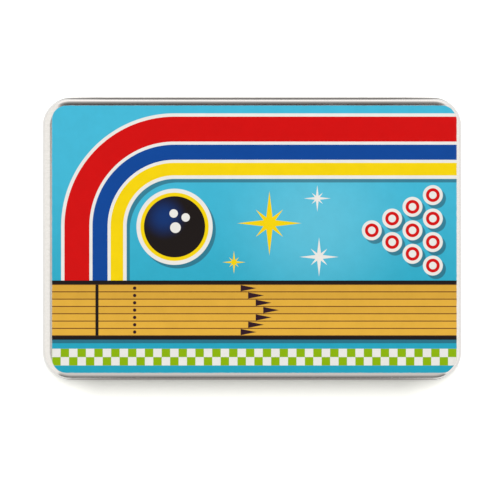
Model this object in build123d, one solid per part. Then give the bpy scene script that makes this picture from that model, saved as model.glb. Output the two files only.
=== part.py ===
from build123d import *
import math
import os

# A tabletop bowling game packed in its tin. The tin lies flat with its lid up, the long side
# along X, and its origin is on the table under the middle. Lengths are in millimetres.

# Tin, as its maker would order it
TIN_LENGTH = 95.0
TIN_WIDTH = 64.0
CORNER_RADIUS = 6.5  # upright corners of the lid, outside
SHEET = 0.3  # tinplate
HEADROOM = 0.9  # over the ball, under the lid

# Lid
LID_SHOULDER_RADIUS = 1.9  # quarter round from skirt to panel, outside
LID_SKIRT_DEPTH = 10.0
LID_CURL_RADIUS = 0.55  # rolled lower edge, outside
CURL_TURN = 270.0  # degrees that each raw edge is rolled through

# Base
SLIP_CLEARANCE = 0.15  # between the lid's curl and the base's wall
RIM_CURL_RADIUS = 0.5
RIM_HEADROOM = 0.3  # between the rim's curl and the lid's panel
BEAD_RADIUS = 0.8  # crest of the stop bead, outside
BEAD_ROOT_RADIUS = 0.4  # hollow above and below the crest, outside
BEAD_PROUD = 0.7
BEAD_CLEARANCE = 0.15  # between the bead and the lid's edge
BASE_EDGE_RADIUS = 2.0
FOOT_WIDTH = 0.5  # flat of the ring that the tin stands on
FLOOR_RISE = 0.5  # embossed floor above that ring
FLOOR_STEP_RADIUS = 0.65  # both bends of the step, outside

# Lane, a thin strip folded in three like a letter Z
LANE_THICKNESS = 0.4
LANE_FOLD_GAP = 0.3
LANE_PANELS = 3
LANE_END_CLEARANCE = 2.75  # each end to the base's rim
LANE_SIDE_CLEARANCE = 1.25  # each side to the base's rim
CONTENT_CLEARANCE = 0.1  # under each thing that lies on another

# Ball
BALL_DIAMETER = 16.0
BALL_ASIDE_SHARE = -0.35  # of the room beside it, from the middle of the tin

# Pin
PIN_HEIGHT = 25.0
PIN_BELLY_DIAMETER = 8.4
PIN_BASE_DIAMETER = 6.4
PIN_HEAD_DIAMETER = 4.2
PIN_NECK_WAIST = 0.1  # each side of the neck in from the head
PIN_EDGE_RADIUS = 0.6  # round the base
PIN_BELLY_SHARE = 0.35  # of the height, up to the widest place
PIN_NECK_SHARE = 0.64  # of the height, up to the narrowest place
PIN_BELLY_BEND_SHARE = 0.55  # of the two bends from belly to neck, the belly's part
PIN_COLUMNS = 2
PIN_ROWS = 5
PIN_GAP = 0.5  # between neighbours
PIN_END_GAP = 0.8  # between the columns, and from the first to the base's rim

# Worked out from the values above
lane_pitch = LANE_THICKNESS + LANE_FOLD_GAP
lane_stack = LANE_PANELS * LANE_THICKNESS + (LANE_PANELS - 1) * LANE_FOLD_GAP
lane_bottom = FLOOR_RISE + SHEET + CONTENT_CLEARANCE
content_bottom = lane_bottom + lane_stack + CONTENT_CLEARANCE
tin_height = content_bottom + BALL_DIAMETER + HEADROOM + SHEET
lid_edge = tin_height - LID_SKIRT_DEPTH
base_inset = 2 * LID_CURL_RADIUS + SLIP_CLEARANCE
rim_inset = base_inset + 2 * RIM_CURL_RADIUS
rim_top = tin_height - SHEET - RIM_HEADROOM
mouth_half_length = TIN_LENGTH / 2 - rim_inset
mouth_half_width = TIN_WIDTH / 2 - rim_inset
pin_belly = PIN_BELLY_DIAMETER / 2
pin_base = PIN_BASE_DIAMETER / 2
pin_head = PIN_HEAD_DIAMETER / 2
pin_neck = pin_head - PIN_NECK_WAIST
belly_z = PIN_HEIGHT * PIN_BELLY_SHARE
neck_z = PIN_HEIGHT * PIN_NECK_SHARE

# Belly to neck: two arcs that meet on a tangent, each upright at its far end
waist_drop = pin_belly - pin_neck
waist_rise = neck_z - belly_z
waist_bends = (waist_rise**2 + waist_drop**2) / (2 * waist_drop)
waist_lean = math.degrees(math.asin(waist_rise / waist_bends))
belly_bend = waist_bends * PIN_BELLY_BEND_SHARE
waist_bend = waist_bends - belly_bend


def onward(path):
    """The end of a path and its direction there."""
    return path @ 1, path % 1


def run_and_corner(section, half_along, half_across):
    """One straight wall along X on the -Y side, with the corner after it."""
    centre_x = half_along - CORNER_RADIUS
    start = Plane(origin=(-centre_x, -half_across, 0), x_dir=(0, 1, 0), z_dir=(1, 0, 0))
    end = Plane(origin=(centre_x, -half_across, 0), x_dir=(0, 1, 0), z_dir=(1, 0, 0))
    wall = extrude(start * section, amount=2 * centre_x)
    turn = Axis((centre_x, CORNER_RADIUS - half_across, 0), (0, 0, 1))
    return wall + revolve(end * section, axis=turn, revolution_arc=90)


def drawn_round(section):
    """A drawn wall: an upright section, whose X runs in from the tin's outline, carried all round."""
    long_side = run_and_corner(section, TIN_LENGTH / 2, TIN_WIDTH / 2)
    short_side = Rot(0, 0, 90) * run_and_corner(section, TIN_WIDTH / 2, TIN_LENGTH / 2)
    half = long_side + short_side
    return half + Rot(0, 0, 180) * half


def flat_panel(inset, bottom):
    """The flat sheet inside a drawn wall that ends this far in from the tin's outline."""
    outline = RectangleRounded(TIN_LENGTH - 2 * inset, TIN_WIDTH - 2 * inset, CORNER_RADIUS - inset)
    return extrude(Pos(0, 0, bottom) * outline, amount=SHEET)


def sheet_section(*bends):
    """The cut face of a sheet that follows these lines and arcs."""
    return trace(Wire(bends), SHEET)


def tin_lid():
    middle = SHEET / 2
    curl_start = (LID_CURL_RADIUS, lid_edge + 2 * LID_CURL_RADIUS - middle)
    curl = JernArc(curl_start, (1, 0), LID_CURL_RADIUS - middle, -CURL_TURN)
    skirt = Line(curl @ 1, (middle, tin_height - LID_SHOULDER_RADIUS))
    shoulder = JernArc(*onward(skirt), LID_SHOULDER_RADIUS - middle, -90)
    wall = drawn_round(sheet_section(curl, skirt, shoulder))
    return wall + flat_panel(LID_SHOULDER_RADIUS, tin_height - SHEET)


def stop_bead(wall_top, bead_z):
    """The wall above the outward bead, then the bead as three tangent arcs."""
    root = BEAD_ROOT_RADIUS + SHEET / 2
    crest = BEAD_RADIUS - SHEET / 2
    lean = math.degrees(math.acos(1 - BEAD_PROUD / (root + crest)))
    reach = (root + crest) * math.sin(math.radians(lean))
    above = Line(wall_top, (wall_top.X, bead_z + reach))
    upper_root = JernArc(*onward(above), root, -lean)
    bulge = JernArc(*onward(upper_root), crest, 2 * lean)
    lower_root = JernArc(*onward(bulge), root, -lean)
    return above, upper_root, bulge, lower_root


def tin_base():
    middle = SHEET / 2
    curl_start = (base_inset + RIM_CURL_RADIUS, rim_top - 2 * RIM_CURL_RADIUS + middle)
    curl = JernArc(curl_start, (1, 0), RIM_CURL_RADIUS - middle, CURL_TURN)
    bead_z = lid_edge - BEAD_CLEARANCE - BEAD_RADIUS
    bead = stop_bead(curl @ 1, bead_z)
    lower_wall = Line(bead[-1] @ 1, (base_inset + middle, BASE_EDGE_RADIUS))
    edge = JernArc(*onward(lower_wall), BASE_EDGE_RADIUS - middle, 90)
    foot = Line(edge @ 1, edge @ 1 + Vector(FOOT_WIDTH, 0))
    step_radius = FLOOR_STEP_RADIUS - middle
    step_lean = math.degrees(math.acos(1 - FLOOR_RISE / (2 * step_radius)))
    step_up = JernArc(*onward(foot), step_radius, step_lean)
    step_over = JernArc(*onward(step_up), step_radius, -step_lean)
    wall = drawn_round(sheet_section(curl, *bead, lower_wall, edge, foot, step_up, step_over))
    return wall + flat_panel((step_over @ 1).X, FLOOR_RISE)


def lane_mat():
    """The folded lane: a strip of even thickness that runs back and forth, extruded across."""
    half_length = mouth_half_length - LANE_END_CLEARANCE
    half_width = mouth_half_width - LANE_SIDE_CLEARANCE
    fold_radius = lane_pitch / 2
    fold_x = half_length - fold_radius - LANE_THICKNESS / 2
    strip = []
    for panel in range(LANE_PANELS):
        way = 1 if panel % 2 == 0 else -1
        first, last = panel == 0, panel == LANE_PANELS - 1
        level = lane_bottom + LANE_THICKNESS / 2 + panel * lane_pitch
        start = (-way * (half_length if first else fold_x), level)
        strip.append(Line(start, (way * (half_length if last else fold_x), level)))
        if not last:
            strip.append(JernArc(*onward(strip[-1]), fold_radius, way * 180))
    upright = Plane(origin=(0, half_width, 0), x_dir=(1, 0, 0), z_dir=(0, -1, 0))
    return extrude(upright * trace(Wire(strip), LANE_THICKNESS), amount=2 * half_width)


def pin_outline():
    """Half of a pin's upright section, from the middle of its flat base to the top of its head."""
    foot_end = pin_base - PIN_EDGE_RADIUS
    # Lower body: one long arc from the rounded edge of the base, upright at the belly
    side_z = belly_z - PIN_EDGE_RADIUS
    flank = (side_z**2 + (pin_belly - foot_end) ** 2 - PIN_EDGE_RADIUS**2) / (2 * (pin_belly - pin_base))
    flank_turn = math.degrees(math.asin(side_z / (flank - PIN_EDGE_RADIUS)))
    # Neck to head: one very wide arc that leaves the neck upright and meets the head on a tangent
    lift = PIN_HEIGHT - pin_head - neck_z
    throat = (lift**2 + pin_neck**2 - pin_head**2) / (2 * (pin_head - pin_neck))
    swell = math.degrees(math.asin(lift / (throat + pin_head)))

    path = [Line((0, 0), (foot_end, 0))]
    bends = [
        (PIN_EDGE_RADIUS, 90 - flank_turn),
        (flank, flank_turn),
        (belly_bend, waist_lean),
        (waist_bend, -waist_lean),
        (throat, -swell),
        (pin_head, 90 + swell),
    ]
    for radius, turn in bends:
        path.append(JernArc(*onward(path[-1]), radius, turn))
    return path


def standing_pin():
    outline = pin_outline()
    axis_line = Line(outline[-1] @ 1, outline[0] @ 0)
    half = make_face(Wire([*outline, axis_line]).edges())
    return revolve(Plane.XZ * half, axis=Axis.Z)


def lying_lean():
    """How far a pin that lies on its belly and its head leans from level, in degrees."""
    across = belly_bend - pin_belly
    along = PIN_HEIGHT - pin_head - belly_z
    tangent = math.asin((belly_bend - pin_head) / math.hypot(across, along))
    return math.degrees(tangent - math.atan2(across, along))


def lying_pin():
    """One pin on its side on the lane, its head towards +X, with the middle of its length at X 0."""
    pin = Rot(0, 90 + lying_lean(), 0) * standing_pin()
    box = pin.bounding_box()
    return Pos(-(box.min.X + box.max.X) / 2, 0, content_bottom - box.min.Z) * pin


def packed_pins(pin, length):
    """Columns of pins that lie along the tin from its -X end, neighbours head to tail."""
    first_x = -mouth_half_length + PIN_END_GAP + length / 2
    placed = {}
    for number in range(PIN_COLUMNS * PIN_ROWS):
        column, row = divmod(number, PIN_ROWS)
        x = first_x + column * (length + PIN_END_GAP)
        y = (row - (PIN_ROWS - 1) / 2) * (PIN_BELLY_DIAMETER + PIN_GAP)
        heading = 180 * ((row + column) % 2)
        placed[f"pin_{number + 1:02d}"] = Pos(x, y, 0) * Rot(0, 0, heading) * pin
    return placed


def bowling_ball(pin_length):
    """The ball lies in the room that the columns of pins leave."""
    radius = BALL_DIAMETER / 2
    pins_end = -mouth_half_length + PIN_COLUMNS * (pin_length + PIN_END_GAP)
    x = (pins_end + mouth_half_length) / 2
    y = (mouth_half_width - radius) * BALL_ASIDE_SHARE
    return Pos(x, y, content_bottom + radius) * Sphere(radius)


os.makedirs("parts", exist_ok=True)
pin = lying_pin()
pin_length = pin.bounding_box().size.X
pieces = {"tin_base": tin_base(), "tin_lid": tin_lid(), "lane_mat": lane_mat()}
pieces.update(packed_pins(pin, pin_length))
pieces["bowling_ball"] = bowling_ball(pin_length)
for name, piece in pieces.items():
    export_step(piece, f"parts/{name}.step")
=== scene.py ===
"""A tabletop bowling game packed in its tin: the finish of every piece, the folded lane and the studio."""

import functools
import math

import bpy
import numpy as np
from bpy.props import FloatProperty, FloatVectorProperty, IntProperty, PointerProperty
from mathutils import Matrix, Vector, noise


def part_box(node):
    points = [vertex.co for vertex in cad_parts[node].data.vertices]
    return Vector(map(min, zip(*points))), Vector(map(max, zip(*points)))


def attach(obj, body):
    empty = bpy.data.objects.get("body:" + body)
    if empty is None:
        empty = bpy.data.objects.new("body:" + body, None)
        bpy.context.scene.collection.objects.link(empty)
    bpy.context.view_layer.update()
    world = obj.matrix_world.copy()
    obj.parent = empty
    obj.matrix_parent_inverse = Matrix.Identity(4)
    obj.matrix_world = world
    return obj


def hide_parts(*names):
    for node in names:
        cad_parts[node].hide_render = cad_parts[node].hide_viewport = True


bl_info = {
    "name": "Tabletop Bowling Game",
    "version": (1, 0, 0),
    "blender": (4, 5, 0),
    "location": "View3D > Sidebar > Bowling",
    "description": "Finishes the tin and its lid, the pins and the ball, folds the lane and sets the studio",
    "category": "Object",
}

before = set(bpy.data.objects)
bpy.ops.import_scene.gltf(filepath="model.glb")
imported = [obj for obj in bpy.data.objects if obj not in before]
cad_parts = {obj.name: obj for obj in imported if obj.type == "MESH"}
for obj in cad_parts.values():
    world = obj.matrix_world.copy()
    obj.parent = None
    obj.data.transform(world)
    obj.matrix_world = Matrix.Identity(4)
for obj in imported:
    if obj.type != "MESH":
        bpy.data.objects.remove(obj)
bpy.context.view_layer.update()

MM = 0.001
LID_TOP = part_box("tin_lid")[1].z
LANE_LOW, LANE_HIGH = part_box("lane_mat")
PIN_NODES = sorted(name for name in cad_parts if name.startswith("pin_"))


def linear(hex_value):
    """An sRGB hex colour as the linear RGBA that Blender works in."""
    steps = [int(hex_value[at : at + 2], 16) / 255 for at in (1, 3, 5)]
    return [s / 12.92 if s <= 0.04045 else ((s + 0.055) / 1.055) ** 2.4 for s in steps] + [1.0]


def colour(name, hex_value, description):
    return FloatVectorProperty(
        name=name, description=description, default=linear(hex_value), size=4, min=0, max=1, subtype="COLOR"
    )


def length(name, millimetres, description):
    return FloatProperty(
        name=name, description=description, default=millimetres * MM, min=0, unit="LENGTH", precision=5
    )


def shift(name, millimetres, description):
    """A length that may go either way."""
    return FloatProperty(
        name=name, description=description, default=millimetres * MM, unit="LENGTH", precision=5
    )


def share(name, default, description):
    return FloatProperty(name=name, description=description, default=default, min=0, max=1, subtype="FACTOR")


def brightness(name, default, description):
    """A strength of light or a whiteness. It may be over 1, which is white."""
    return FloatProperty(name=name, description=description, default=default, min=0)


class StudioSettings(bpy.types.PropertyGroup):
    lens: FloatProperty(name="Lens", description="Focal length", default=150, min=1, unit="CAMERA")
    view_width: length("View width", 112.8, "Width of the picture at the lid's panel")
    view_right: shift("View right", -0.45, "Camera from the tin's middle, to the right")
    view_up: shift("View up", -2.54, "Camera from the tin's middle, up the picture")
    floor_size: length("Floor size", 3000, "Side of the square floor")
    key_width: length("Key width", 30, "Key lamp, along the tin")
    key_depth: length("Key depth", 155, "Key lamp, across the tin")
    key_distance: length("Key distance", 600, "From the tin to the key lamp")
    key_rise: FloatProperty(
        name="Key angle", description="How high the key lamp stands behind the tin, up to straight above",
        default=math.radians(81.7), subtype="ANGLE", unit="ROTATION"
    )
    key_share: brightness("Key light", 0.5, "Share of a plain light level that the key lamp gives")
    fill_share: brightness("Fill light", 0.5, "Strength of the room's light on matt surfaces")
    floor_shown: brightness(
        "Floor shown", 1.33, "Whiteness of the floor to the camera, over what it sends to the tin"
    )
    # Painted light: towards the tin's ends the camera sees the floor whiter, so that the tin's shadow fades
    # there
    floor_shown_painted_light_aside: brightness(
        "Floor shown aside", 2.1, "The same towards the tin's ends, where its shadow fades"
    )
    # Painted light: past the tin's ends metal and glass see the floor brighter than its own grey
    floor_mirrored_painted_light: brightness(
        "Floor mirrored", 1.2, "Whiteness in metal and glass of the floor past the tin's ends"
    )


class TinSettings(bpy.types.PropertyGroup):
    metal: colour("Tinplate", "#DEDCD9", "Bright tinplate, where no ink covers it")
    streaks: colour("Streaks", "#D9D7D3", "Faint darker lines that rolling and drawing leave")
    metal_roughness: share("Tinplate roughness", 0.17, "Blur of what the bare tinplate mirrors")
    lacquer: share("Lacquer", 0.35, "Share of a full clear coat on the bare metal")
    line_pitch: length("Line spacing", 0.3, "Spacing of the faint lines, drawn coarser than on a real tin")
    line_length: length("Line length", 20, "Length of those lines")
    patch: length("Handled patches", 11, "Size of the slightly duller patches that handling leaves")


class PrintSettings(bpy.types.PropertyGroup):
    long_side: length("Print length", 91.3, "Inked panel of the lid, along the tin")
    short_side: length("Print width", 60.3, "Inked panel of the lid, across the tin")
    corner: length("Print corner", 3.2, "Corner radius of the inked panel")
    right: shift("Print offset", 0.53, "How far the print sits to the right of the lid's middle")
    down: shift("Print drop", 0.1, "How far the print sits below the lid's middle")
    roughness: share("Ink roughness", 0.32, "Blur of what the ink mirrors")
    edge_grain: length("Edge grain", 1.25, "Spacing of the unevenness of the inked panel's edge")
    mottle: length("Mottle", 3, "Size of the faint lighter and darker patches in the ink")
    peel: length("Orange peel", 1.4, "Spacing of faint waves in the ink's gloss, drawn coarser than real")


class InkSettings(bpy.types.PropertyGroup):
    sky: colour("Sky", "#44B7D5", "Ground of the print")
    deep_sky: colour("Deep sky", "#22A1BB", "Ground towards the lower edge")
    # The soft lighter patch of the ground is a painted sheen of the glossy print
    sheen_sky: colour("Pale sky", "#64C2DA", "Soft lighter patch of the ground")
    red: colour("Red", "#CF0606", "Widest stripe")
    navy: colour("Blue", "#064494", "Middle stripe")
    yellow: colour("Yellow", "#F3D205", "Narrow stripe")
    ivory: colour("Ivory", "#E9E7E1", "Key lines and spots")
    tan: colour("Tan", "#E3AF3E", "Boards of the lane")
    brown: colour("Brown", "#5A2A12", "Lines between the boards")
    black: colour("Black", "#120A08", "Ball and gutters")
    green: colour("Green", "#8AB100", "Chequers")
    shade: colour("Shade", "#2A0F1C", "Printed shadows")


class PinSettings(bpy.types.PropertyGroup):
    body: colour("Pin", "#F3F0E9", "Moulded body")
    scuffed: colour("Scuffs", "#B9AE9C", "Faintly soiled scuffs on the body")
    stripe: colour("Stripe", "#D2141A", "Two pad-printed neck stripes")
    stripe_width: length("Stripe width", 1.0, "Each stripe, along the pin")
    lower_stripe: length("Lower stripe", 16.3, "Middle of the lower stripe, above the pin's base")
    upper_stripe: length("Upper stripe", 18.8, "Middle of the upper stripe, above the pin's base")
    seam_width: length("Seam width", 0.12, "Raised line where the halves of the mould meet")
    edge_grain: length("Edge grain", 1.25, "Spacing of the unevenness of the stripes' edges")
    scuffs: length("Scuff size", 2, "Size of the largest scuffs")


class BallSettings(bpy.types.PropertyGroup):
    silver: colour("Silver", "#AFADB0", "Plain tint of the mirror")
    lavender: colour("Lavender", "#8B85A0", "Cool tint of the mirror")
    gold: colour("Gold", "#B39877", "Warm tint of the mirror")
    rose: colour("Rose", "#9B8083", "Tint between the warm one and the cool one")
    smoke: colour("Smoke", "#3A353D", "Worn places, where the dark glass shows through")
    drift: length("Tint drift", 14, "Distance over which the coat's tint drifts")
    worn: length("Worn places", 5, "Size of the worn places")


class LaneSettings(bpy.types.PropertyGroup):
    boards: colour("Boards", "#E5AE4A", "Printed boards")
    grain: colour("Grain", "#C08432", "Darker boards and their grain")
    lines: colour("Lines", "#57300F", "Printed lines between the boards")
    back: colour("Back", "#E6DFD2", "Unprinted side of the cloth")
    thickness: length("Thickness", 0.3, "Cloth with its print")
    panels: IntProperty(name="Panels", description="Layers of the folded lane", default=3, min=2)
    board_width: length("Board width", 4.75, "Printed boards, across the lane")
    line_width: length("Line width", 0.32, "Printed lines between the boards, across the lane")
    grain_length: length("Grain length", 20, "Printed wood grain, along the lane")
    grain_width: length("Grain width", 0.8, "Printed wood grain, across the lane")
    thread_pair: length("Thread pair", 0.42, "Two woven threads, drawn coarser than real so that they show")
    sag: length("Unevenness", 0.11, "How far the layers stray from flat")
    spring: length("Spring", 1.2, "How far the free edges of the top layer lift")


def smooth_step(value, low, high):
    """0 up to the low value, 1 from the high value, and an even curve between them."""
    reached = min(max((value - low) / (high - low), 0), 1)
    return reached * reached * (3 - 2 * reached)


# Settings that many nodes share: a Mix of colours, and a MapRange with an even curve
IN_COLOUR = {"data_type": "RGBA", "output": 2}
SMOOTH = {"interpolation_type": "SMOOTHSTEP"}


def add_node(tree, kind, *in_order, sockets=None, output=0, stops=(), **settings):
    """Adds a shader node with its settings, and values or links on its inputs. Gives one of its outputs.
    A Mix node takes numbers on its inputs 2 and 3, vectors on 4 and 5, and colours on 6 and 7."""
    node = tree.nodes.new("ShaderNode" + kind)
    for name, value in settings.items():
        setattr(node, name, value)
    for socket, value in {**dict(enumerate(in_order)), **(sockets or {})}.items():
        if isinstance(value, bpy.types.NodeSocket):
            tree.links.new(value, node.inputs[socket])
        else:
            node.inputs[socket].default_value = value
    for at, (place, shade) in enumerate(stops):
        ramp = node.color_ramp.elements
        stop = ramp[at] if at < 2 else ramp.new(place)
        stop.position, stop.color = place, shade
    return node.outputs[output] if node.outputs else node


def start_nodes(owner):
    """Empties a material or a world, and gives a function that adds nodes to it."""
    owner.use_nodes = True
    owner.node_tree.nodes.clear()
    return functools.partial(add_node, owner.node_tree)


def new_material(name):
    """An empty material, and a function that adds nodes to it."""
    material = bpy.data.materials.new(name)
    return material, start_nodes(material)


def wear(piece, material):
    """Gives a piece one material."""
    piece.data.materials.clear()
    piece.data.materials.append(material)


def in_millimetres(put, place):
    return put("VectorMath", place, sockets={"Scale": 1 / MM}, operation="SCALE")


def within(put, distance, reach):
    """1 inside the reach and 0 outside it, with the slightly soft edge of a printed shape."""
    return put("MapRange", distance, reach - INK_EDGE, reach + INK_EDGE, 1.0, 0.0, **SMOOTH)


def overlap(put, *masks):
    return functools.reduce(lambda one, other: put("Math", one, other, operation="MULTIPLY"), masks)


def off_line(put, at, line):
    """Distance from a straight line."""
    return put("Math", put("Math", at, line, operation="SUBTRACT"), operation="ABSOLUTE")


def away_from(put, x, y, place):
    """Distance of each printed point from one place."""
    spot = put("CombineXYZ", x, y, 0.0)
    return put("VectorMath", spot, (*place, 0.0), operation="DISTANCE", output="Value")


def tinted(put, face, tint):
    """A colour with each of its parts times one number."""
    grey = put("CombineColor", tint, tint, tint)
    return put("Mix", sockets={0: 1.0, 6: face, 7: grey}, blend_type="MULTIPLY", **IN_COLOUR)


# Printed edges, in millimetres: how soft they are, and how far they stray
INK_EDGE = 0.05
FRAY = 0.16

# The lid's printed shapes, in millimetres from the middle of the print
SKY_FADE = (-30.0, 26.0)
# A painted sheen: a soft lighter patch of the ground, with its middle, its reach and its strength
SHEEN_PATCH_MIDDLE = (14.0, 4.0)
SHEEN_PATCH_REACH = 26.0
SHEEN_PATCH_SHARE = 0.8
SHADE_DROP = (0.7, -0.8)
SHADE_SHARE = 0.55
# The stripes: their turning point, how far from it they start, and the reach of the ramp of their colours
SWEEP_CENTRE = (-18.0, 2.8)
SWEEP_START = 10.8
SWEEP_SPAN = 30.0
SWEEP_BANDS = (
    (0.8, "ivory"), (2.8, "yellow"), (0.7, "ivory"), (3.4, "navy"),
    (0.7, "ivory"), (5.6, "red"), (0.8, "ivory"),
)
# The emblem lies on the stripes' turning point. Its shine and its holes are placed from its own middle
EMBLEM_RADII = ((8.6, "ivory"), (7.7, "yellow"), (6.9, "black"))
SHINE_PLACE = (-2.3, 2.2)
SHINE_REACH = (0.5, 5.5)
SHINE_SHARE = 0.5
FINGER_HOLES = ((-0.2, 3.0, 0.95), (2.5, 2.1, 0.95), (0.2, -0.2, 1.2))
SPOT_ROWS = 4
SPOT_PITCH = 5.3
FIRST_SPOT = (26.5, 2.0)
SPOT_RADII = ((2.25, "ivory"), (1.55, "red"), (0.85, "ivory"))
STARS = (
    ((3.4, 3.6), 7.2, "yellow"), ((14.6, -4.0), 4.4, "ivory"),
    ((14.2, 9.2), 3.0, "ivory"), ((-4.6, -5.2), 2.6, "yellow"),
)
# A star's long rays and short ones: their turn, their share of the long ray and how slim they are
STAR_RAYS = ((0.0, 1.0, 8.0), (math.pi / 4, 0.6, 6.0))
LANE_MIDDLE = -16.0
LANE_BOARDS = 7
LANE_BOARD = 1.65
LANE_HALF = LANE_BOARDS * LANE_BOARD / 2
GUTTER = 0.9
BOARD_LINE = 0.2
BOARD_TONE_SHARE = 0.16
FOUL_LINE = -35.5
FOUL_WIDTH = 0.7
DOT_LINE = -27.0
DOT_RADIUS = 0.38
DART_FOOT = 2.0
DART_STEP = 1.7
DART_LENGTH = 3.6
DART_HALF_WIDTH = 0.72
CHEQUER = 1.9
CHEQUER_MIDDLE = -26.6


def sweep(put, x, y):
    """Distance from the stripes' turning point. They come in level from the right and leave downwards."""
    left = put("Math", put("Math", SWEEP_CENTRE[0], x, operation="SUBTRACT"), 0.0, operation="MAXIMUM")
    above = put("Math", put("Math", y, SWEEP_CENTRE[1], operation="SUBTRACT"), 0.0, operation="MAXIMUM")
    return away_from(put, left, above, (0.0, 0.0))


def to_spots(put, x, y):
    """Distance to the nearest of ten spots in a triangle that points left."""
    distances = []
    for row in range(SPOT_ROWS):
        for place in range(row + 1):
            # Rows of an even triangle lie 0.866 of the pitch apart
            spot = (FIRST_SPOT[0] + row * SPOT_PITCH * 0.866, FIRST_SPOT[1] + (place - row / 2) * SPOT_PITCH)
            distances.append(away_from(put, x, y, spot))
    return functools.reduce(lambda one, other: put("Math", one, other, operation="MINIMUM"), distances)


def starburst(put, x, y, place, ray):
    """Below 1 inside a star of four long rays and four short ones."""
    right = put("Math", x, place[0], operation="SUBTRACT")
    up = put("Math", y, place[1], operation="SUBTRACT")
    reach = away_from(put, x, y, place)
    angle = put("Math", put("Math", up, right, operation="ARCTAN2"), 2 * math.pi, operation="ADD")
    points = []
    for turn, ray_share, slimness in STAR_RAYS:
        fold = put("Math", put("Math", angle, turn, operation="ADD"), math.pi / 4, operation="PINGPONG")
        flare = put("Math", fold, slimness, 1.0, operation="MULTIPLY_ADD")
        spread = put("Math", reach, flare, operation="MULTIPLY")
        points.append(put("Math", spread, ray * ray_share, operation="DIVIDE"))
    return put("Math", *points, operation="MINIMUM")


def on_stripes(put, x, y):
    """1 on the stripes, which end behind the lane."""
    sweep_end = SWEEP_START + sum(width for width, _ in SWEEP_BANDS)
    off_middle = off_line(put, sweep(put, x, y), (SWEEP_START + sweep_end) / 2)
    in_bands = within(put, off_middle, (sweep_end - SWEEP_START) / 2)
    return overlap(put, in_bands, put("Math", y, LANE_MIDDLE, operation="GREATER_THAN"))


def shadow_layers(put, x, y, inks):
    """The shadows of the lane, the stripes, the emblem and the spots, moved down and to the right."""
    x, y = (put("Math", at, drop, operation="SUBTRACT") for at, drop in zip((x, y), SHADE_DROP))
    shapes = (
        within(put, off_line(put, y, LANE_MIDDLE), LANE_HALF + GUTTER),
        on_stripes(put, x, y),
        within(put, away_from(put, x, y, SWEEP_CENTRE), EMBLEM_RADII[0][0]),
        within(put, to_spots(put, x, y), SPOT_RADII[0][0]),
    )
    return [(put("Math", shape, SHADE_SHARE, operation="MULTIPLY"), inks.shade) for shape in shapes]


def sky(put, x, y, inks):
    """The ground of the print: deeper towards the lower edge, with a soft lighter patch that is a painted
    sheen.
    """
    rising = put("MapRange", y, *SKY_FADE, 0.0, 1.0, **SMOOTH)
    ground = put("Mix", sockets={0: rising, 6: inks.deep_sky, 7: inks.sky}, **IN_COLOUR)
    from_sheen = away_from(put, x, y, SHEEN_PATCH_MIDDLE)
    # Painted sheen: a soft lighter patch of the ground
    patch = put("MapRange", from_sheen, 0.0, SHEEN_PATCH_REACH, SHEEN_PATCH_SHARE, 0.0, **SMOOTH)
    return put("Mix", sockets={0: patch, 6: ground, 7: inks.sheen_sky}, **IN_COLOUR)


def stripe_colour(put, x, y, inks):
    """The colour of each stripe, by the distance from their turning point."""
    stops, edge = [(0.0, inks.ivory)], SWEEP_START
    for width, ink in SWEEP_BANDS:
        stops.append((edge / SWEEP_SPAN, getattr(inks, ink)))
        edge += width
    bands = put("ValToRGB", put("Math", sweep(put, x, y), SWEEP_SPAN, operation="DIVIDE"), stops=stops)
    bands.node.color_ramp.interpolation = "CONSTANT"
    return bands


def ring_layers(put, distance, radii, inks):
    """Round shapes on each other, from the largest to the smallest."""
    return [(within(put, distance, radius), getattr(inks, ink)) for radius, ink in radii]


def emblem_layers(put, x, y, inks):
    """A ball with three holes and a soft shine, in two rings."""
    from_middle = away_from(put, x, y, SWEEP_CENTRE)
    layers = ring_layers(put, from_middle, EMBLEM_RADII, inks)
    from_shine = away_from(put, x, y, (SWEEP_CENTRE[0] + SHINE_PLACE[0], SWEEP_CENTRE[1] + SHINE_PLACE[1]))
    shine = put("MapRange", from_shine, *SHINE_REACH, SHINE_SHARE, 0.0, **SMOOTH)
    on_ball = layers[-1][0]
    layers.append((overlap(put, shine, on_ball), inks.navy))
    for right, up, radius in FINGER_HOLES:
        hole = away_from(put, x, y, (SWEEP_CENTRE[0] + right, SWEEP_CENTRE[1] + up))
        layers.append((within(put, hole, radius), inks.ivory))
    return layers


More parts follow.
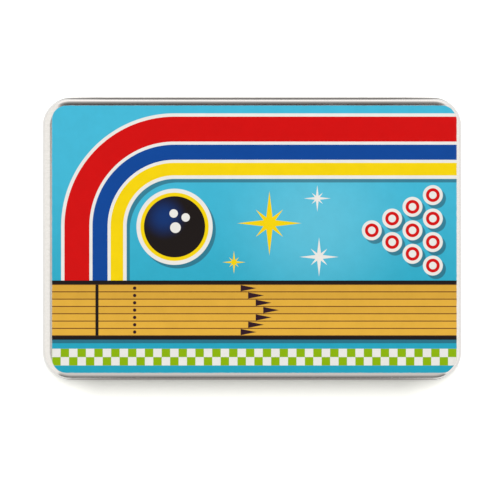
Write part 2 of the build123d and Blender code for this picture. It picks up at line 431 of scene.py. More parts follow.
def lane_layers(put, x, y, inks):
    """A lane from above: boards between black gutters, a foul line, and a dot and a dart on each board."""
    across = put("Math", y, LANE_MIDDLE, operation="SUBTRACT")
    board = put("Math", put("Math", across, LANE_BOARD, operation="DIVIDE"), operation="ROUND")
    board_middle = put("Math", board, LANE_BOARD, operation="MULTIPLY")
    in_board = put("Math", across, board_middle, operation="SUBTRACT")
    off_board = put("Math", in_board, operation="ABSOLUTE")
    noise_of_board = put("TexWhiteNoise", sockets={"W": board}, noise_dimensions="1D")
    tone = put("Math", noise_of_board, BOARD_TONE_SHARE, operation="MULTIPLY")
    boards = put("Mix", sockets={0: tone, 6: inks.tan, 7: inks.brown}, **IN_COLOUR)
    gaps = put("Math", 1.0, within(put, off_board, (LANE_BOARD - BOARD_LINE) / 2), operation="SUBTRACT")
    dots = within(put, away_from(put, x, in_board, (DOT_LINE, 0.0)), DOT_RADIUS)
    foul_line = within(put, off_line(put, x, FOUL_LINE), FOUL_WIDTH / 2)

    # The darts point right. The further a board is from the middle, the further left its dart stands
    off_middle = put("Math", board, operation="ABSOLUTE")
    foot = put("Math", off_middle, -DART_STEP, DART_FOOT, operation="MULTIPLY_ADD")
    from_foot = put("Math", x, foot, operation="SUBTRACT")
    past_foot = put("Math", from_foot, 0.0, operation="GREATER_THAN")
    wide = put("Math", off_board, DART_HALF_WIDTH, operation="DIVIDE")
    along = put("Math", from_foot, DART_LENGTH, operation="DIVIDE")
    darts = overlap(put, within(put, put("Math", wide, along, operation="ADD"), 1.0), past_foot)

    off_lane = off_line(put, y, LANE_MIDDLE)
    in_lane = within(put, off_lane, LANE_HALF)
    layers = [(within(put, off_lane, LANE_HALF + GUTTER), inks.black), (in_lane, boards)]
    for shape, ink in ((gaps, inks.brown), (darts, inks.shade), (dots, inks.shade), (foul_line, inks.black)):
        layers.append((overlap(put, shape, in_lane), ink))
    return layers


def chequer_layer(put, x, y, inks):
    """Two rows of chequers, cut half a millimetre inside the first layer of the solid pattern."""
    tiles = put("CombineXYZ", x, put("Math", y, CHEQUER_MIDDLE, operation="SUBTRACT"), 0.5)
    chequers = put("TexChecker", sockets={
        "Vector": tiles, "Color1": inks.green, "Color2": inks.ivory, "Scale": 1 / CHEQUER})
    return within(put, off_line(put, y, CHEQUER_MIDDLE), CHEQUER), chequers


def printed_panel(put, x, y, inks):
    """The lid's print: a plain retro pattern of stripes, spots, stars and a lane from above."""
    layers = shadow_layers(put, x, y, inks)
    layers.append((on_stripes(put, x, y), stripe_colour(put, x, y, inks)))
    layers += emblem_layers(put, x, y, inks)
    layers += ring_layers(put, to_spots(put, x, y), SPOT_RADII, inks)
    for place, ray, ink in STARS:
        layers.append((within(put, starburst(put, x, y, place, ray), 1.0), getattr(inks, ink)))
    layers += lane_layers(put, x, y, inks)
    layers.append(chequer_layer(put, x, y, inks))

    printed = sky(put, x, y, inks)
    for mask, ink in layers:
        printed = put("Mix", sockets={0: mask, 6: printed, 7: ink}, **IN_COLOUR)
    return printed


# Heights of what shows as relief, in metres
LINE_DEPTH = 0.012 * MM
PEEL_DEPTH = 0.02 * MM
INK_DEPTH = 0.015 * MM
SEAM_DEPTH = 0.03 * MM
PRINTED_WEAVE_DEPTH = 0.06 * MM
PLAIN_WEAVE_DEPTH = 0.04 * MM

# Millimetres below the lid's top that still belong to its panel
PANEL_DEPTH = 0.25
LACQUER_ROUGHNESS = 0.08
# Height of a face's normal: the sheet counts as a side up to the first, and as level from the second
SIDE_TO_LEVEL = (0.5, 0.8)

# The part of a noise pattern that shows, and below it what that part gives
STREAKS_SHOWN = (0.38, 0.66)
HANDLING_SHOWN = (0.35, 0.7)
HANDLING_DULLS = (0.8, 1.35)
MOTTLE_SHOWN = (0.3, 0.7)
MOTTLE_TINTS = (0.97, 1.03)
SOIL_SHOWN = (0.45, 0.8)
SOIL_SHARES = (0.0, 0.12)
RUBBING_SHOWN = (0.3, 0.75)
PIN_ROUGHNESS = (0.3, 0.45)
COAT_WORN = (0.52, 0.72)
WORN_SHARES = (0.0, 0.75)
COAT_RUBBED = (0.4, 0.75)
COAT_ROUGHNESS = (0.05, 0.16)

# The coat's tints, from where it is thinnest to where it is thickest
COAT_TINTS = (
    (0.3, "lavender"), (0.42, "silver"), (0.5, "gold"), (0.56, "rose"), (0.63, "lavender"), (0.72, "silver"),
)
STRIPE_ROUGHNESS = 0.24
# How much a printed board darkens towards the grain's colour: by chance, and with the grain
BOARD_SHARE = 0.2
GRAIN_SHARE = 0.34
# Painted shade: brightness of the cloth where it lies low between its threads
PRINTED_WEAVE_PAINTED_SHADE = 0.88
PLAIN_WEAVE_PAINTED_SHADE = 0.9


def bare_tin(put, tin, place):
    """Colour, roughness and bump of bare tinplate."""
    # The mill's rolls leave lines along the flat sheet, and the drawing die upright ones on the sides.
    # Both are much finer on a real tin, and are drawn as coarse as a close view needs
    thick, stretched = MM / tin.line_pitch, MM / tin.line_length
    marks = []
    for scale in ((thick, thick, stretched), (stretched, thick, thick)):
        drawn = put("VectorMath", place, scale, operation="MULTIPLY")
        marks.append(put("TexNoise", sockets={
            "Vector": drawn, "Scale": 1.0, "Detail": 3.0, "Roughness": 0.6}))
    upwards = put("SeparateXYZ", put("NewGeometry", output="Normal"), output="Z")
    level_face = put("MapRange", put("Math", upwards, operation="ABSOLUTE"), *SIDE_TO_LEVEL, 0.0, 1.0)
    lines = put("Mix", sockets={0: level_face, 2: marks[0], 3: marks[1]}, data_type="FLOAT")
    streaked = put("MapRange", lines, *STREAKS_SHOWN, 0.0, 1.0)
    metal = put("Mix", sockets={0: streaked, 6: tin.metal, 7: tin.streaks}, **IN_COLOUR)

    handling = put("TexNoise", sockets={
        "Vector": place, "Scale": MM / tin.patch, "Detail": 4.0, "Roughness": 0.55})
    dulled = (tin.metal_roughness * part for part in HANDLING_DULLS)
    rough = put("MapRange", handling, *HANDLING_SHOWN, *dulled)
    bump = put("Bump", sockets={"Strength": 0.15, "Distance": LINE_DEPTH, "Height": lines})
    return metal, rough, bump


def bright_tinplate(tin):
    """Tinplate: cold-rolled steel with a bright tin coat, drawn to shape and lacquered.
    It mirrors softly, with faint rolling lines on level faces and upright drawing lines on the sides."""
    material, put = new_material("bright tinplate")
    metal, rough, bump = bare_tin(put, tin, in_millimetres(put, put("TexCoord", output="Object")))
    shader = put("BsdfPrincipled", sockets={
        "Base Color": metal, "Metallic": 1.0, "Roughness": rough, "Normal": bump,
        "Coat Weight": tin.lacquer, "Coat Roughness": LACQUER_ROUGHNESS})
    put("OutputMaterial", shader)
    return material


def panel_mask(put, panel, place, x, y):
    """1 on the inked panel: a rectangle with rounded corners and a slightly uneven edge."""
    corner = panel.corner / MM
    half = (panel.long_side / MM / 2 - corner, panel.short_side / MM / 2 - corner, 0.0)
    from_middle = put("VectorMath", put("CombineXYZ", x, y, 0.0), operation="ABSOLUTE")
    beyond = put("VectorMath", from_middle, half, operation="SUBTRACT")
    past_half = put("VectorMath", beyond, (0.0, 0.0, 0.0), operation="MAXIMUM")
    outside = put("VectorMath", past_half, operation="LENGTH", output="Value")
    beyond_x, beyond_y = (put("SeparateXYZ", beyond, output=axis) for axis in "XY")
    inside = put("Math", put("Math", beyond_x, beyond_y, operation="MAXIMUM"), 0.0, operation="MINIMUM")
    from_corner = put("Math", outside, inside, operation="ADD")
    uneven = put("TexNoise", sockets={"Vector": place, "Scale": MM / panel.edge_grain, "Detail": 2.0})
    frayed = put("Math", uneven, FRAY, from_corner, operation="MULTIPLY_ADD")
    return within(put, frayed, corner + FRAY / 2)


def printed_tinplate(tin, panel, inks):
    """Printed tinplate: the same sheet, litho printed on the lid's panel and bare at its shoulder and skirt.
    The ink is glossy and levels the sheet, so only a trace of orange peel shows in its gloss."""
    material, put = new_material("printed tinplate")
    place = in_millimetres(put, put("TexCoord", output="Object"))
    metal, metal_rough, metal_bump = bare_tin(put, tin, place)
    centred = put("VectorMath", place, (panel.right / MM, -panel.down / MM, 0.0), operation="SUBTRACT")
    x, y, z = (put("SeparateXYZ", centred, output=axis) for axis in "XYZ")
    on_top = put("Math", z, LID_TOP / MM - PANEL_DEPTH, operation="GREATER_THAN")
    inked = overlap(put, panel_mask(put, panel, place, x, y), on_top)
    bare = put("Math", 1.0, inked, operation="SUBTRACT")

    # A trace of mottle keeps large areas from looking like one flat fill
    mottle = put("TexNoise", sockets={
        "Vector": place, "Scale": MM / panel.mottle, "Detail": 5.0, "Roughness": 0.6})
    mottling = put("MapRange", mottle, *MOTTLE_SHOWN, *MOTTLE_TINTS)
    picture = tinted(put, printed_panel(put, x, y, inks), mottling)
    face = put("Mix", sockets={0: inked, 6: metal, 7: picture}, **IN_COLOUR)
    peel = put("TexNoise", sockets={"Vector": place, "Scale": MM / panel.peel, "Detail": 2.0})
    peel_bump = put("Bump", sockets={"Strength": 0.08, "Distance": PEEL_DEPTH, "Height": peel})
    ink_bump = put("Bump", sockets={
        "Strength": 0.5, "Distance": INK_DEPTH, "Height": inked, "Normal": peel_bump})
    normal = put("Mix", sockets={0: inked, 4: metal_bump, 5: ink_bump}, output=1, data_type="VECTOR")
    rough = put("Mix", sockets={0: inked, 2: metal_rough, 3: panel.roughness}, data_type="FLOAT")

    # A low specular level, so that the ink's colours stay deep in a bright room
    shader = put("BsdfPrincipled", sockets={
        "Base Color": face, "Metallic": bare, "Roughness": rough, "Normal": normal,
        "Specular IOR Level": 0.2, "Coat Weight": put("Math", bare, tin.lacquer, operation="MULTIPLY"),
        "Coat Roughness": LACQUER_ROUGHNESS})
    put("OutputMaterial", shader)
    return material


def long_axis(piece):
    """The middle of a solid's base and the direction of its length, from the moments of its volume."""
    mesh = piece.data
    mesh.calc_loop_triangles()
    points = np.array([vertex.co for vertex in mesh.vertices])
    corners = points[[triangle.vertices[:] for triangle in mesh.loop_triangles]]
    origin = points.mean(0)
    corners = corners - origin
    volumes = np.einsum("ij,ij->i", corners[:, 0], np.cross(corners[:, 1], corners[:, 2])) / 6
    sums = corners.sum(1)
    centre = (volumes[:, None] * sums / 4).sum(0) / volumes.sum()
    outer = np.einsum("nci,ncj->nij", corners, corners) + np.einsum("ni,nj->nij", sums, sums)
    spread = (volumes[:, None, None] * outer / 20).sum(0) / volumes.sum() - np.outer(centre, centre)
    axis = np.linalg.eigh(spread)[1][:, -1]
    heights = (points - origin - centre) @ axis
    # The head lies further from the middle of the volume than the base does
    if heights.max() < -heights.min():
        axis, heights = -axis, -heights
    return Vector(origin + centre + axis * heights.min()), Vector(axis)


def striped_plastic(name, piece, pins):
    """Polystyrene: injection-moulded pin, satin from its mould, with two pad-printed neck stripes.
    Light sinks in a little at the edges, and the stripes have slightly uneven edges and more gloss."""
    material, put = new_material(name)
    foot, axis = long_axis(piece)
    place = in_millimetres(put, put("TexCoord", output="Object"))
    from_foot = put("VectorMath", place, tuple(foot / MM), operation="SUBTRACT")
    height = put("VectorMath", from_foot, tuple(axis), operation="DOT_PRODUCT", output="Value")
    uneven = put("TexNoise", sockets={"Vector": place, "Scale": MM / pins.edge_grain, "Detail": 2.0})
    stray = put("Math", uneven, 0.5, operation="SUBTRACT")
    wavy = put("Math", stray, FRAY, height, operation="MULTIPLY_ADD")
    half = pins.stripe_width / MM / 2
    pair = [within(put, off_line(put, wavy, at / MM), half) for at in (pins.lower_stripe, pins.upper_stripe)]
    stripes = put("Math", *pair, operation="MAXIMUM")

    scuffs = put("TexNoise", sockets={
        "Vector": place, "Scale": MM / pins.scuffs, "Detail": 5.0, "Roughness": 0.65})
    soiled = put("MapRange", scuffs, *SOIL_SHOWN, *SOIL_SHARES)
    body = put("Mix", sockets={0: soiled, 6: pins.body, 7: pins.scuffed}, **IN_COLOUR)
    face = put("Mix", sockets={0: stripes, 6: body, 7: pins.stripe}, **IN_COLOUR)
    body_rough = put("MapRange", scuffs, *RUBBING_SHOWN, *PIN_ROUGHNESS)
    rough = put("Mix", sockets={0: stripes, 2: body_rough, 3: STRIPE_ROUGHNESS}, data_type="FLOAT")

    # The mould's halves meet in the plane through the axis that is level across the lying pin
    seam_way = axis.cross(Vector((0, 0, 1))).normalized().cross(axis)
    off_seam = put("VectorMath", from_foot, tuple(seam_way), operation="DOT_PRODUCT", output="Value")
    seam = within(put, put("Math", off_seam, operation="ABSOLUTE"), pins.seam_width / MM / 2)
    relief = put("Math", seam, put("Math", stripes, 0.5, operation="MULTIPLY"), operation="ADD")
    normal = put("Bump", sockets={"Strength": 0.5, "Distance": SEAM_DEPTH, "Height": relief})
    shader = put("BsdfPrincipled", sockets={
        "Base Color": face, "Roughness": rough, "Normal": normal, "IOR": 1.59, "Subsurface Weight": 0.15,
        "Subsurface Radius": (1.0, 0.8, 0.6), "Subsurface Scale": 0.4 * MM})
    put("OutputMaterial", shader)
    return material


def lustre_glass(ball):
    """Lustre glass: a pressed dark marble, fumed hot with metal oxides.
    The coat mirrors like polished steel. Its thickness drifts over the ball, which tints the mirror in soft
    bands of lavender, gold and rose, with smoky places where it is thin."""
    material, put = new_material("lustre glass")
    place = in_millimetres(put, put("TexCoord", output="Object"))
    thickness = put("TexNoise", sockets={
        "Vector": place, "Scale": MM / ball.drift, "Detail": 4.0, "Roughness": 0.5, "Distortion": 1.2})
    coat = put("ValToRGB", thickness, stops=[(at, getattr(ball, tint)) for at, tint in COAT_TINTS])
    coat.node.color_ramp.interpolation = "EASE"
    thin = put("TexNoise", sockets={
        "Vector": place, "Scale": MM / ball.worn, "Detail": 5.0, "Roughness": 0.62, "Distortion": 0.8})
    worn = put("MapRange", thin, *COAT_WORN, *WORN_SHARES, **SMOOTH)
    face = put("Mix", sockets={0: worn, 6: coat, 7: ball.smoke}, **IN_COLOUR)
    rough = put("MapRange", thin, *COAT_RUBBED, *COAT_ROUGHNESS)
    shader = put("BsdfPrincipled", sockets={
        "Base Color": face, "Metallic": 1.0, "Roughness": rough, "Coat Weight": 0.4, "Coat Roughness": 0.03})
    put("OutputMaterial", shader)
    return material


def weave_of(put, flat, lane):
    """Height of a plain weave, from -1 to 1. The threads are drawn coarser than real, so that they show."""
    threads, turns = [], 2 * math.pi * MM / lane.thread_pair
    for axis in "XY":
        angle = put("Math", put("SeparateXYZ", flat, output=axis), turns, operation="MULTIPLY")
        threads.append(put("Math", angle, operation="SINE"))
    return put("Math", *threads, operation="MULTIPLY")


def printed_cloth(lane):
    """Polyester cloth: plain woven and transfer printed with boards.
    It is matt, with the weave just showing through the print, as a bump and as painted shade between the
    threads."""
    material, put = new_material("printed polyester cloth")
    flat = in_millimetres(put, put("UVMap", uv_map="flat"))
    across = put("SeparateXYZ", flat, output="Y")
    board_width = lane.board_width / MM
    board = put("Math", put("Math", across, board_width, operation="DIVIDE"), operation="FLOOR")
    tone = put("TexWhiteNoise", sockets={"W": board}, noise_dimensions="1D")
    grain_scale = (MM / lane.grain_length, MM / lane.grain_width, 1.0)
    stretched = put("VectorMath", flat, grain_scale, operation="MULTIPLY")
    grain = put("TexNoise", sockets={"Vector": stretched, "Scale": 1.0, "Detail": 5.0, "Roughness": 0.6})
    tone_part = put("Math", tone, BOARD_SHARE, operation="MULTIPLY")
    grain_part = put("Math", grain, GRAIN_SHARE, operation="MULTIPLY")
    darker = put("Math", tone_part, grain_part, operation="ADD")
    boards = put("Mix", sockets={0: darker, 6: lane.boards, 7: lane.grain}, **IN_COLOUR)
    line = within(put, put("Math", across, board_width, operation="FLOORED_MODULO"), lane.line_width / MM)
    print_colour = put("Mix", sockets={0: line, 6: boards, 7: lane.lines}, **IN_COLOUR)
    weave = weave_of(put, flat, lane)
    # Painted shade: the cloth is darker where it lies low between its threads
    face = tinted(put, print_colour, put("MapRange", weave, -1.0, 1.0, PRINTED_WEAVE_PAINTED_SHADE, 1.0))
    normal = put("Bump", sockets={"Strength": 0.6, "Distance": PRINTED_WEAVE_DEPTH, "Height": weave})
    shader = put("BsdfPrincipled", sockets={
        "Base Color": face, "Roughness": 0.85, "Normal": normal,
        "Sheen Weight": 0.15, "Sheen Roughness": 0.5})
    put("OutputMaterial", shader)
    return material


def plain_cloth(lane):
    """Polyester cloth, unprinted side: plain woven, matt and off-white, with a ghost of the weave:
    a bump, and painted shade between the threads.
    """
    material, put = new_material("plain polyester cloth")
    weave = weave_of(put, in_millimetres(put, put("UVMap", uv_map="flat")), lane)
    # Painted shade: the cloth is darker where it lies low between its threads
    face = tinted(put, lane.back, put("MapRange", weave, -1.0, 1.0, PLAIN_WEAVE_PAINTED_SHADE, 1.0))
    normal = put("Bump", sockets={"Strength": 0.35, "Distance": PLAIN_WEAVE_DEPTH, "Height": weave})
    shader = put("BsdfPrincipled", sockets={"Base Color": face, "Roughness": 0.9, "Normal": normal})
    put("OutputMaterial", shader)
    return material


WHITE = (1.0, 1.0, 1.0, 1.0)
SENSOR_WIDTH = 36
# The floor's grey on what it lights
FLOOR_GREY = (0.85, 0.85, 0.85, 1.0)
# The floor to the camera is a little yellow, which shows only in the tin's shadow
FLOOR_WARMTH = (1.0, 1.0, 0.95)
# Painted shade that only metal and glass show: the floor is darkest in them next to the tin's front and back
# Millimetres from the tin's middle, towards its back, with how bright mirrors see the floor there
FLOOR_PAINTED_SHADE_LEVELS = ((-200, 0.22), (-110, 0.28), (-85, 0.45), (-45, 0.42), (-33, 0.1), (34, 0.16), (66, 0.33))
FLOOR_REACH = 200
FLOOR_TINT = (1.0, 0.95, 0.94)
# Distances in metres over which the floor changes: in mirrors from painted shade to painted light towards
# the tin's ends, to the camera towards the painted light that fades the ends of the shadow, and all round
# towards the plain background
MIRRORED_ENDS = (0.036, 0.062)
SHADOW_ENDS = (0.035, 0.05)
BACKGROUND_EDGE = (0.2, 0.42)

# Degrees from straight up, below zero towards the front, with how bright mirrors see the room there
ROOM_LEVELS = (
    (-90, 0.18), (-75, 0.26), (-58, 0.5), (-43, 0.72), (-30, 0.88), (-12, 0.7), (-4, 0.25),
    (6, 0.05), (18, 0.08), (30, 0.2), (45, 0.36), (60, 0.85), (74, 1.5), (90, 1.4),
)
ROOM_REACH = 90
ROOM_TINT = (1.0, 0.965, 0.95)
# The softboxes on both sides: how far aside they start, and how much further towards the front and back
SOFTBOX = (1.2, 1.18, 1.15, 1.0)
SOFTBOX_EDGE = (0.06, 0.095)
SOFTBOX_SLANT = 0.5
# Soft light at the horizon and straight up. Over a level surface it adds up to 1
SOFT_LEVELS = (1.8, 0.6)


def seen_in_mirror(put):
    """1 where metal or glass shows the studio to the camera. What they pass on to matt surfaces is plain."""
    glossy, through = (put("LightPath", output=f"Is {kind} Ray") for kind in ("Glossy", "Transmission"))
    mirror = put("Math", glossy, through, operation="MAXIMUM")
    direct = put("Math", put("LightPath", output="Diffuse Depth"), 0.5, operation="LESS_THAN")
    return put("Math", mirror, direct, operation="MULTIPLY")


def graded(put, along, levels, reach, tint):
    """Brightness levels along a line from minus the reach to the reach, which comes in as 0 to 1."""
    stops = []
    for place, level in levels:
        stops.append(((place + reach) / (2 * reach), (*(level * part for part in tint), 1.0)))
    return put("ValToRGB", along, stops=stops)


def floor_paint(studio):
    """Matt white studio paint: rolled on, so smooth and without shine. The camera sees it whiter, and more
    so towards the tin's ends, where painted light fades the tin's shadow. Metal and glass see painted shade
    on it next to the tin's front and back, and painted light past the tin's ends. Well away from the tin the
    camera sees it as white as the background."""
    material, put = new_material("matt white paint")
    place = put("TexCoord", output="Object")
    x, y = (put("SeparateXYZ", place, output=axis) for axis in "XY")
    off_middle = put("Math", x, operation="ABSOLUTE")
    # Painted shade and painted light that only metal and glass see: darker next to the tin's front and back,
    # brighter past its ends
    along = put("MapRange", y, -FLOOR_REACH * MM, FLOOR_REACH * MM, 0.0, 1.0)
    middle = graded(put, along, FLOOR_PAINTED_SHADE_LEVELS, FLOOR_REACH, FLOOR_TINT)
    side = (studio.floor_mirrored_painted_light,) * 3 + (1.0,)
    aside = put("MapRange", off_middle, *MIRRORED_ENDS, 0.0, 1.0, **SMOOTH)
    mirrored = put("Mix", sockets={0: aside, 6: middle, 7: side}, **IN_COLOUR)
    lit = put("Mix", sockets={0: seen_in_mirror(put), 6: FLOOR_GREY, 7: mirrored}, **IN_COLOUR)

    # Painted light to the camera: the floor grows whiter towards the tin's ends, which fades the tin's
    # shadow there
    shown_levels = (studio.floor_shown, studio.floor_shown_painted_light_aside)
    whiteness = put("MapRange", off_middle, *SHADOW_ENDS, *shown_levels, **SMOOTH)
    shown = put("VectorMath", FLOOR_WARMTH, sockets={"Scale": whiteness}, operation="SCALE")
    to_camera = put("LightPath", output="Is Camera Ray")
    white = put("Mix", sockets={0: to_camera, 6: lit, 7: shown}, **IN_COLOUR)
    from_tin = put("VectorMath", place, operation="LENGTH", output="Value")
    far_off = put("MapRange", from_tin, *BACKGROUND_EDGE, 0.0, 1.0, **SMOOTH)
    background = put("Math", far_off, to_camera, operation="MULTIPLY")
    paint = put("BsdfDiffuse", white)
    put("OutputMaterial", put("MixShader", background, paint, put("Emission", WHITE, 1.0)))
    return material


def studio_room(studio):
    """White to the camera. To metal and glass: softboxes on both sides, a bright wall low behind the tin and
    a dim ceiling. To matt surfaces: soft light from every side, most from low down. The key lamp gives the
    rest."""
    world = bpy.data.worlds.new("studio room")
    put = start_nodes(world)
    way = put("TexCoord", output="Generated")
    x, y, z = (put("SeparateXYZ", way, output=axis) for axis in "XYZ")
    tilt = put("Math", y, z, operation="ARCTAN2")
    along = put("MapRange", tilt, math.radians(-ROOM_REACH), math.radians(ROOM_REACH), 0.0, 1.0)
    middle = graded(put, along, ROOM_LEVELS, ROOM_REACH, ROOM_TINT)
    off_x, off_y = (put("Math", part, operation="ABSOLUTE") for part in (x, y))
    off_middle = put("Math", off_y, -SOFTBOX_SLANT, off_x, operation="MULTIPLY_ADD")
    aside = put("MapRange", off_middle, *SOFTBOX_EDGE, 0.0, 1.0, **SMOOTH)
    mirrored = put("Mix", sockets={0: aside, 6: middle, 7: SOFTBOX}, **IN_COLOUR)
    soft = put("MapRange", z, 0.0, 1.0, *(level * studio.fill_share for level in SOFT_LEVELS))
    soft_grey = put("CombineColor", soft, soft, soft)
    lit = put("Mix", sockets={0: seen_in_mirror(put), 6: soft_grey, 7: mirrored}, **IN_COLOUR)
    to_camera = put("LightPath", output="Is Camera Ray")
    seen = put("Mix", sockets={0: to_camera, 6: lit, 7: WHITE}, **IN_COLOUR)
    put("OutputWorld", put("Background", seen, 1.0))
    return world


class BOWLING_OT_studio(bpy.types.Operator):
    """Sets the camera over the lid, the white floor, the key lamp and the room's light"""

    bl_idname = "bowling.studio"
    bl_label = "Set the studio"

    def execute(self, context):
        scene, studio = context.scene, context.scene.bowling_studio
        lens = bpy.data.cameras.new("camera")
        lens.lens, lens.sensor_width = studio.lens, SENSOR_WIDTH
        lens.clip_start, lens.clip_end = 0.01, 10
        camera = bpy.data.objects.new("camera", lens)
        distance = studio.view_width * studio.lens / SENSOR_WIDTH
        camera.location = (studio.view_right, studio.view_up, LID_TOP + distance)
        scene.collection.objects.link(camera)
        scene.camera = camera

        half = studio.floor_size / 2
        sheet = bpy.data.meshes.new("floor")
        corners = [(-half, -half, 0), (half, -half, 0), (half, half, 0), (-half, half, 0)]
        sheet.from_pydata(corners, [], [(0, 1, 2, 3)])
        floor = bpy.data.objects.new("floor", sheet)
        scene.collection.objects.link(floor)
        wear(floor, floor_paint(studio))

        rise, reach = studio.key_rise, studio.key_distance
        key = bpy.data.lights.new("key lamp", "AREA")
        key.shape, key.size, key.size_y = "RECTANGLE", studio.key_width, studio.key_depth
        # An area lamp of power P lights a surface that faces it, far off, with P / (pi * reach²)
        key.energy = studio.key_share * math.pi * math.pi * reach**2 / math.sin(rise)
        lamp = bpy.data.objects.new("key lamp", key)
        lamp.location = (0, math.cos(rise) * reach, math.sin(rise) * reach)
        lamp.rotation_euler = (rise - math.pi / 2, 0, 0)
        lamp.visible_glossy = False
        scene.collection.objects.link(lamp)

        scene.world = studio_room(studio)
        scene.view_settings.view_transform = "Standard"
        return {"FINISHED"}


class BOWLING_OT_tin_base(bpy.types.Operator):
    """Gives the base bright tinplate"""

    bl_idname = "bowling.tin_base"
    bl_label = "Finish the base"

    def execute(self, context):
        wear(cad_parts["tin_base"], bright_tinplate(context.scene.bowling_tin))
        return {"FINISHED"}


class BOWLING_OT_tin_lid(bpy.types.Operator):
    """Gives the lid its print, with bare tinplate round it"""

    bl_idname = "bowling.tin_lid"
    bl_label = "Print the lid"

    def execute(self, context):
        scene = context.scene
        printed = printed_tinplate(scene.bowling_tin, scene.bowling_print, scene.bowling_inks)
        wear(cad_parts["tin_lid"], printed)
        return {"FINISHED"}


class BOWLING_OT_pins(bpy.types.Operator):
    """Gives each pin satin plastic with its two neck stripes"""

    bl_idname = "bowling.pins"
    bl_label = "Finish the pins"

    def execute(self, context):
        for name in PIN_NODES:
            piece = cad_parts[name]
            wear(piece, striped_plastic(f"striped polystyrene {name}", piece, context.scene.bowling_pins))
        return {"FINISHED"}


class BOWLING_OT_ball(bpy.types.Operator):
    """Gives the ball its mirror lustre over dark glass"""

    bl_idname = "bowling.ball"
    bl_label = "Finish the ball"

    def execute(self, context):
        wear(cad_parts["bowling_ball"], lustre_glass(context.scene.bowling_ball))
        return {"FINISHED"}


# The lane's mesh: points across it and along each panel, and steps round each turn
LANE_COLUMNS = 49
PANEL_POINTS = 60
TURN_STEPS = 10
# Spacing of the lane's unevenness in metres: along the tin, across it and along the cloth itself
RIPPLE = (0.016, 0.011, 0.09)
# What the pins and the ball hold down, in metres from the middle
HELD_ACROSS = 0.0215
HELD_ALONG = 0.034
# Lift of the free long edges and of the free end: its middle, its swing, and its wave in metres a radian
EDGE_LIFT = (0.45, 0.55, 0.012)
END_LIFT = (0.6, 0.4, 0.013)
# How far the waves of the two long edges are out of step, in radians each way
EDGE_TURN = 1.5
# Shares of its last panel, back from its free end, over which the lane's top layer comes free
FREE_SHARES = (0.8, 0.55)


def folded_line(lane):
    """Points along the middle of the cloth from its first end, as (x, z, run so far)."""
    pitch = (LANE_HIGH.z - LANE_LOW.z - lane.thickness) / (lane.panels - 1)
    low = LANE_LOW.z + lane.thickness / 2
    end, fold_end = LANE_HIGH.x, LANE_HIGH.x - pitch / 2 - lane.thickness / 2
    points = []
    for panel in range(lane.panels):
        way = 1 if panel % 2 == 0 else -1
        level = low + panel * pitch
        start = -way * (end if panel == 0 else fold_end)
        stop = way * (end if panel == lane.panels - 1 else fold_end)
        points += [(x, level) for x in np.linspace(start, stop, PANEL_POINTS)]
        if panel < lane.panels - 1:
            for step in range(1, TURN_STEPS):
                turn = math.pi * step / TURN_STEPS
                x = way * (fold_end + math.sin(turn) * pitch / 2)
                points.append((x, level + pitch / 2 * (1 - math.cos(turn))))
    line, run = [(*points[0], 0.0)], 0.0
    for before, after in zip(points, points[1:]):
        run += math.dist(before, after)
        line.append((*after, run))
    return line


def rise(lane, x, y, run, flat_length):
    """How far the cloth strays from its layer. It lies flat under the pins and the ball, and springs up
    where nothing holds it: along the two long edges of the top layer and at its free end."""
    ripple = noise.noise([at / spacing for at, spacing in zip((x, y, run), RIPPLE)])
    panel = LANE_HIGH.x - LANE_LOW.x
    top = smooth_step(run, *(flat_length - panel * part for part in FREE_SHARES))
    middle, swing, wave = EDGE_LIFT
    edge_wave = middle + swing * math.sin(x / wave + math.copysign(EDGE_TURN, y))
    edge = smooth_step(abs(y), HELD_ACROSS, LANE_HIGH.y) * edge_wave
    middle, swing, wave = END_LIFT
    end = smooth_step(x, HELD_ALONG, LANE_HIGH.x) * (middle + swing * math.cos(y / wave))
    return ripple * lane.sag + top * (max(edge, 0) + end) * lane.spring


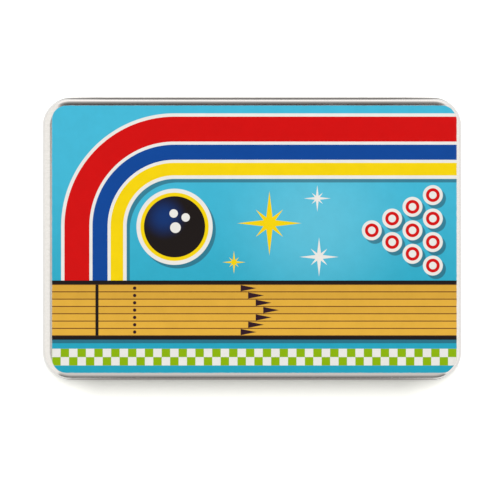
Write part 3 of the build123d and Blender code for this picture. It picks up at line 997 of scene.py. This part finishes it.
class BOWLING_OT_lane(bpy.types.Operator):
    """Folds the lane's cloth like a letter Z in the bottom of the tin"""

    bl_idname = "bowling.lane"
    bl_label = "Fold the lane"

    def execute(self, context):
        lane = context.scene.bowling_lane
        line = folded_line(lane)
        flat_length = line[-1][2]
        width = LANE_HIGH.y - LANE_LOW.y
        across = np.linspace(-width / 2, width / 2, LANE_COLUMNS)
        vertices, faces, flat = [], [], []
        for x, z, run in line:
            for y in across:
                vertices.append((x, y, z + rise(lane, x, y, run, flat_length)))
                flat.append((run, y + width / 2))
        for row in range(len(line) - 1):
            for column in range(LANE_COLUMNS - 1):
                corner = row * LANE_COLUMNS + column
                faces.append((corner, corner + LANE_COLUMNS, corner + LANE_COLUMNS + 1, corner + 1))
        mesh = bpy.data.meshes.new("folded_lane")
        mesh.from_pydata(vertices, [], faces)
        layer = mesh.uv_layers.new(name="flat")
        for loop in mesh.loops:
            layer.data[loop.index].uv = flat[loop.vertex_index]
        mesh.shade_smooth()
        piece = bpy.data.objects.new("folded_lane", mesh)
        context.scene.collection.objects.link(piece)
        mesh.materials.append(printed_cloth(lane))
        mesh.materials.append(plain_cloth(lane))
        solid = piece.modifiers.new("cloth", "SOLIDIFY")
        solid.thickness, solid.offset = lane.thickness, 0
        solid.material_offset = solid.material_offset_rim = 1
        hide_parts("lane_mat")
        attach(piece, "lane")
        return {"FINISHED"}


class BOWLING_PT_panel(bpy.types.Panel):
    """Sizes and colours of the bowling game, and a button for each of its pieces"""

    bl_idname = "BOWLING_PT_panel"
    bl_label = "Tabletop Bowling Game"
    bl_space_type = "VIEW_3D"
    bl_region_type = "UI"
    bl_category = "Bowling"

    def draw(self, context):
        for operator, groups in STEPS.items():
            box = self.layout.box()
            box.operator(operator.bl_idname)
            for group in groups:
                for name in SETTINGS[group].__annotations__:
                    box.prop(getattr(context.scene, group), name)


SETTINGS = {
    "bowling_studio": StudioSettings,
    "bowling_tin": TinSettings,
    "bowling_print": PrintSettings,
    "bowling_inks": InkSettings,
    "bowling_pins": PinSettings,
    "bowling_ball": BallSettings,
    "bowling_lane": LaneSettings,
}
STEPS = {
    BOWLING_OT_studio: ("bowling_studio",),
    BOWLING_OT_tin_base: ("bowling_tin",),
    BOWLING_OT_tin_lid: ("bowling_print", "bowling_inks"),
    BOWLING_OT_pins: ("bowling_pins",),
    BOWLING_OT_ball: ("bowling_ball",),
    BOWLING_OT_lane: ("bowling_lane",),
}
CLASSES = (*SETTINGS.values(), *STEPS, BOWLING_PT_panel)


def register():
    for made in CLASSES:
        bpy.utils.register_class(made)
    for name, group in SETTINGS.items():
        setattr(bpy.types.Scene, name, PointerProperty(type=group))


def unregister():
    for name in SETTINGS:
        delattr(bpy.types.Scene, name)
    for made in reversed(CLASSES):
        bpy.utils.unregister_class(made)


def main():
    register()
    bpy.ops.bowling.studio()
    bpy.ops.bowling.tin_base()
    bpy.ops.bowling.tin_lid()
    bpy.ops.bowling.pins()
    bpy.ops.bowling.ball()
    bpy.ops.bowling.lane()


if __name__ == "__main__":
    main()
